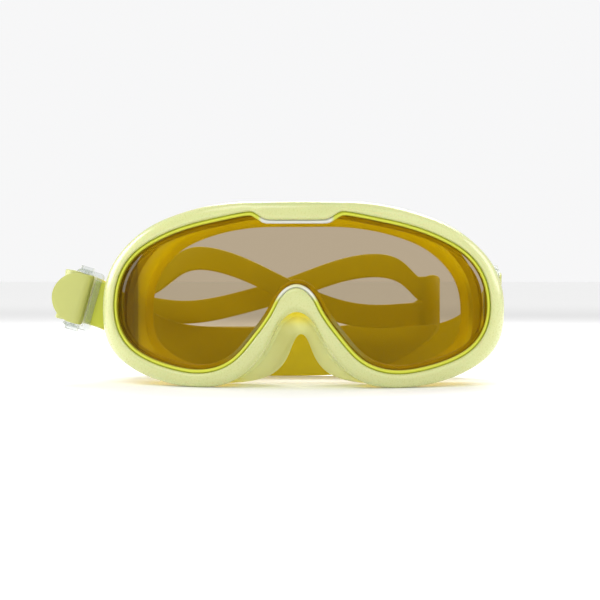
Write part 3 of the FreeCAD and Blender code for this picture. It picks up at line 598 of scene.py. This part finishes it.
def material(name, color, roughness, build=None, **sockets):
    """A Principled material with a fine surface bump and a slight mottling of its colour."""
    mat, nt, shader, place = blank(name)
    for key, value in sockets.items():
        shader.inputs[key.replace("_", " ")].default_value = value
    darker = (*[c * 0.975 for c in color], 1)
    lighter = (*[min(c * 1.025, 1.0) for c in color], 1)
    mottled = add(nt, "Mix", {}, data_type="RGBA")
    mottled.inputs["A"].default_value = darker
    mottled.inputs["B"].default_value = lighter
    nt.links.new(noise(nt, place, 60.0, 4.0), mottled.inputs["Factor"])
    nt.links.new(mottled.outputs["Result"], shader.inputs["Base Color"])
    grain = noise(nt, place, 1600.0, 3.0)
    nt.links.new(ranged(nt, grain, roughness * 0.85, roughness * 1.15), shader.inputs["Roughness"])
    bump = add(nt, "Bump", {"Strength": 0.03, "Distance": 0.0002, "Height": grain})
    nt.links.new(bump.outputs["Normal"], shader.inputs["Normal"])
    if build:
        build(nt, shader, place)
    return mat


def glassy(name, tint, clear, roughness, haze):
    """Thin clear plastic: what is behind shows through the tint, with a clear gloss over it."""
    mat, nt, shader, place = blank(name)
    shader.inputs["Base Color"].default_value = (*tint, 1)
    shader.inputs["IOR"].default_value = 1.55
    smudge = noise(nt, place, 45.0, 5.0)
    nt.links.new(ranged(nt, smudge, roughness * 0.6, roughness * 1.6), shader.inputs["Roughness"])
    through = add(nt, "BsdfTransparent", {"Color": (*clear, 1)})
    fresnel = add(nt, "Fresnel", {"IOR": 1.5})
    gloss = add(nt, "Math", {0: fresnel.outputs["Fac"], 1: 0.55, 2: haze}, operation="MULTIPLY_ADD")
    mixed_shader(nt, gloss.outputs["Value"], through.outputs["BSDF"], shader.outputs["BSDF"])
    return mat


def glowing(share, gain):
    """A build step that lets a share of the light pass diffusely through, in the wall's colour."""
    def build(nt, shader, place):
        color = shader.inputs["Base Color"].links[0].from_socket
        brighter = add(nt, "Mix", {}, data_type="RGBA", blend_type="MULTIPLY")
        brighter.inputs["Factor"].default_value = 1.0
        brighter.inputs["B"].default_value = (*gain, 1)
        nt.links.new(color, brighter.inputs["A"])
        passing = add(nt, "BsdfTranslucent", {"Color": brighter.outputs["Result"]})
        mixed_shader(nt, share, shader.outputs["BSDF"], passing.outputs["BSDF"])
    return build


def zone(nt, place, axis, low, high, fold=False):
    """A soft step between two positions along an axis, in metres; folded, between distances."""
    value = add(nt, "SeparateXYZ", {"Vector": place}).outputs[axis]
    if fold:
        value = add(nt, "Math", {0: value}, operation="ABSOLUTE").outputs["Value"]
    step = add(nt, "MapRange", {"From Min": low, "From Max": high, "Value": value},
               interpolation_type="SMOOTHSTEP")
    return step.outputs["Result"]


def repainted(color, *zones):
    """A build step that fades the base colour to another where all the zones are on."""
    def build(nt, shader, place):
        share, *others = [zone(nt, place, *args) for args in zones]
        for other in others:
            share = add(nt, "Math", {0: share, 1: other}, operation="MULTIPLY").outputs["Value"]
        mix = add(nt, "Mix", {}, data_type="RGBA")
        mix.inputs["B"].default_value = (*color, 1)
        nt.links.new(share, mix.inputs["Factor"])
        nt.links.new(shader.inputs["Base Color"].links[0].from_socket, mix.inputs["A"])
        nt.links.new(mix.outputs["Result"], shader.inputs["Base Color"])
    return build


def steps(*builds):
    """Several build steps as one."""
    def build(nt, shader, place):
        for step in builds:
            step(nt, shader, place)
    return build


PALE = (0.64, 0.67, 0.29)
PAD = (0.64, 0.66, 0.22)
frame_mat = material("pale_lime_plastic", PALE, 0.28, Subsurface_Weight=0.1, Subsurface_Scale=0.003,
                     Coat_Weight=0.35, Coat_Roughness=0.12)
# Painted highlights on the gasket's lip: a pale grey-white edge under the top tab and a whiter line over
# the nose arch's peak stand in for light caught on those edges.
tab_edge_highlight = repainted((0.72, 0.73, 0.68), ("X", 0.0155, 0.0135, True), ("Z", 0.060, 0.063))
nose_peak_highlight = repainted((0.80, 0.81, 0.72), ("X", 0.011, 0.007, True), ("Z", 0.0435, 0.0395),
                      ("Z", 0.034, 0.038))
gasket_mat = material("bright_silicone", (0.66, 0.70, 0.05), 0.34, steps(tab_edge_highlight, nose_peak_highlight))
ring_mat = material("ring_plastic", (0.74, 0.62, 0.03), 0.45, glowing(0.65, (1.3, 1.4, 2.0)))
saddle = repainted((0.70, 0.69, 0.44), ("X", 0.034, 0.020, True), ("Z", 0.032, 0.024))
skirt_mat = material("skirt_silicone", (0.78, 0.66, 0.03), 0.38,
                     steps(saddle, glowing(0.72, (1.25, 1.33, 1.5))))
beside_pad = repainted(PAD, ("X", -0.086, -0.092))
strap_mat = material("strap_silicone", (0.74, 0.65, 0.003), 0.42,
                     steps(beside_pad, glowing(0.30, (1.25, 1.25, 3.0))))
tail_mat = material("tail_silicone", PAD, 0.42, glowing(0.20, (1.15, 1.15, 0.9)))
arm_mat = material("arm_silicone", (0.62, 0.66, 0.11), 0.36, glowing(0.45, (1.35, 1.35, 1.1)))
steel_mat = material("polished_steel", (0.75, 0.75, 0.76), 0.22, Metallic=1.0)
lens_mat = glassy("bronze_lens", (0.06, 0.05, 0.03), (0.73, 0.66, 0.55), 0.06, 0.008)
clear_mat = glassy("clear_polycarbonate", (0.74, 0.77, 0.75), (0.93, 0.945, 0.935), 0.10, 0.11)


def paint(obj, mat):
    """Gives an object its one material."""
    obj.data.materials.clear()
    obj.data.materials.append(mat)


def dress(obj, mat, slot, body, *cad):
    """Gives a piece its material and body, and hides the CAD nodes it stands for; the slot is not used."""
    paint(obj, mat)
    if cad:
        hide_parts(*cad)
    if body:
        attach(obj, body)


band = make_frame()
dress(band, frame_mat, "frame", "root")
dress(make_gasket(), gasket_mat, "gasket", "root", "lens_gasket")
dress(make_lens(), lens_mat, "lens", "root", "lens")
dress(make_skirt(), skirt_mat, "skirt", "root", "skirt")
straps = make_straps()
for key, piece in straps.items():
    dress(piece, strap_mat, "strap", None if key in ("low", "back") else "root", "strap")
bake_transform(straps["low"])
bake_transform(straps["back"])
for side in SIDES:
    dress(make_strap_end(side), tail_mat, "strap", side + "_buckle", side + "_strap_end")


def lug_plates():
    """The frame's hinge lugs, rounded at the eye and with softened edges."""
    x, y, z = HINGE
    ring = [(LUG_START, -LUG_RADIUS), (LUG_START, LUG_RADIUS)]
    ring += [(y + LUG_RADIUS * math.sin(a), LUG_RADIUS * math.cos(a))
             for a in np.linspace(0.0, math.pi, 19)]
    layers = [(0.0, LUG_EDGE), (LUG_EDGE, 0.0), (LUG_THICKNESS - LUG_EDGE, 0.0), (LUG_THICKNESS, LUG_EDGE)]
    for side, sign in SIDES.items():
        for name, low in LUG_LOWS.items():
            verts = [(sign * x + xx * (1 - inset / LUG_RADIUS), yy - (inset if yy > y else 0.0),
                      z + low + up)
                     for up, inset in layers for yy, xx in ring]
            obj = new_mesh(f"{side}_{name}_hinge_lug", verts, tube_faces(len(layers), len(ring)))
            dress(finished(obj, 50), frame_mat, "frame", "root")


lug_plates()
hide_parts("front_frame")


def half_springs(side):
    """The release spring as two half coils, an upper and a lower one."""
    cad = nodes[side + "_release_spring"]
    points = np.array([v.co for v in cad.data.vertices]) / MM
    middle = (points.min(axis=0) + points.max(axis=0)) / 2
    _, outward, forward, up = strap_frame(side)
    reach = float(np.max((points - middle) @ up)) - WIRE_RADIUS
    radius = float(np.max(np.abs((points - middle) @ forward))) - WIRE_RADIUS
    turns, steps_per_turn, around = 4.5, 24, 8
    count = int(turns * steps_per_turn) + 1
    for name, sign in (("upper", 1), ("lower", -1)):
        verts = []
        for i in range(count):
            angle = 2 * math.pi * i / steps_per_turn * sign
            ray = outward * math.cos(angle) + forward * math.sin(angle)
            centre = middle + ray * radius + up * (sign * reach * i / (count - 1))
            verts += [centre + ray * (WIRE_RADIUS * math.cos(a)) + up * (WIRE_RADIUS * math.sin(a))
                      for a in np.linspace(0, 2 * math.pi, around, endpoint=False)]
        coil = finished(new_mesh(f"{side}_{name}_spring_half", verts, tube_faces(count, around)), 60)
        dress(coil, steel_mat, "steel", side + "_buckle", side + "_release_spring")
        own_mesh(coil)


paint(nodes["retaining_ring"], ring_mat)
for side in SIDES:
    half_springs(side)
    for name, mat in (("hinge_pin", steel_mat), ("arm", arm_mat), ("buckle_body", clear_mat),
                      ("strap_roller", clear_mat), ("upper_release_button", clear_mat),
                      ("lower_release_button", clear_mat)):
        paint(nodes[f"{side}_{name}"], mat)


# ---------------------------------------------------------------- stage, light and camera
def floor():
    """A wide pale floor that brightens far away, to meet the background."""
    reach = 12000.0
    corners = [(-reach, -reach, 0), (reach, -reach, 0), (reach, reach, 0), (-reach, reach, 0)]
    obj = new_mesh("studio_floor", corners, [(0, 1, 2, 3)])
    mat, nt, shader, place = blank("pale_floor")
    shader.inputs["Base Color"].default_value = (0.88, 0.88, 0.88, 1)
    shader.inputs["Roughness"].default_value = 0.6
    shader.inputs["Emission Color"].default_value = (1, 1, 1, 1)
    away = add(nt, "VectorMath", {0: place}, operation="LENGTH").outputs["Value"]
    glow = add(nt, "MapRange", {"From Min": 0.3, "From Max": 2.2, "To Min": 0.12, "To Max": 0.37,
                                "Value": away}, interpolation_type="SMOOTHSTEP")
    nt.links.new(glow.outputs["Result"], shader.inputs["Emission Strength"])
    paint(obj, mat)


def studio_world():
    """Soft white light from all round, and a white background."""
    world = bpy.data.worlds.new("studio")
    world.use_nodes = True
    nt = world.node_tree
    light = nt.nodes["Background"]
    light.inputs["Color"].default_value = (1, 1, 1, 1)
    light.inputs["Strength"].default_value = 0.56
    seen = add(nt, "Background", {"Color": (0.93, 0.93, 0.935, 1)})
    from_camera = add(nt, "LightPath", {}).outputs["Is Camera Ray"]
    mix = add(nt, "MixShader", {"Fac": from_camera, 1: light.outputs["Background"],
                                2: seen.outputs["Background"]})
    nt.links.new(mix.outputs["Shader"], nt.nodes["World Output"].inputs["Surface"])
    bpy.context.scene.world = world


def area_light(name, place, target, width, height, power):
    """A soft rectangular lamp aimed at a point."""
    lamp = bpy.data.lights.new(name, "AREA")
    lamp.shape = "RECTANGLE"
    lamp.size, lamp.size_y = width, height
    lamp.energy = power
    obj = bpy.data.objects.new(name, lamp)
    obj.location = place
    obj.rotation_euler = (Vector(target) - Vector(place)).to_track_quat("-Z", "Y").to_euler()
    bpy.context.scene.collection.objects.link(obj)


def aim_camera():
    """A long lens in front of the mask, nearly level."""
    azimuth, elevation = math.radians(4.0), math.radians(0.8)
    distance = 0.7305
    target = Vector((-0.0008, 0.035, 0.035))
    way = Vector((math.sin(azimuth) * math.cos(elevation),
                  -math.cos(azimuth) * math.cos(elevation), math.sin(elevation)))
    camera = bpy.data.cameras.new("camera")
    camera.lens = 105.0
    camera.sensor_width = 36.0
    camera.clip_start = 0.01
    obj = bpy.data.objects.new("camera", camera)
    obj.location = target + way * distance
    obj.rotation_euler = (-way).to_track_quat("-Z", "Y").to_euler()
    bpy.context.scene.collection.objects.link(obj)
    bpy.context.scene.camera = obj


floor()
aim_camera()
area_light("key", (-0.35, -0.55, 0.75), (0, 0.03, 0.03), 0.7, 0.5, 3.5)
area_light("fill", (0.65, -0.45, 0.45), (0, 0.03, 0.03), 0.6, 0.6, 1.3)
area_light("left_side", (-0.6, 0.22, 0.22), (-0.07, 0.04, 0.035), 0.3, 0.3, 2.0)
area_light("right_side", (0.6, 0.22, 0.22), (0.07, 0.04, 0.035), 0.3, 0.3, 1.0)
area_light("back", (0.1, 0.65, 0.65), (0, 0.06, 0.03), 0.8, 0.4, 6.5)
studio_world()
bpy.context.scene.view_settings.view_transform = "Standard"

bpy.context.view_layer.update()
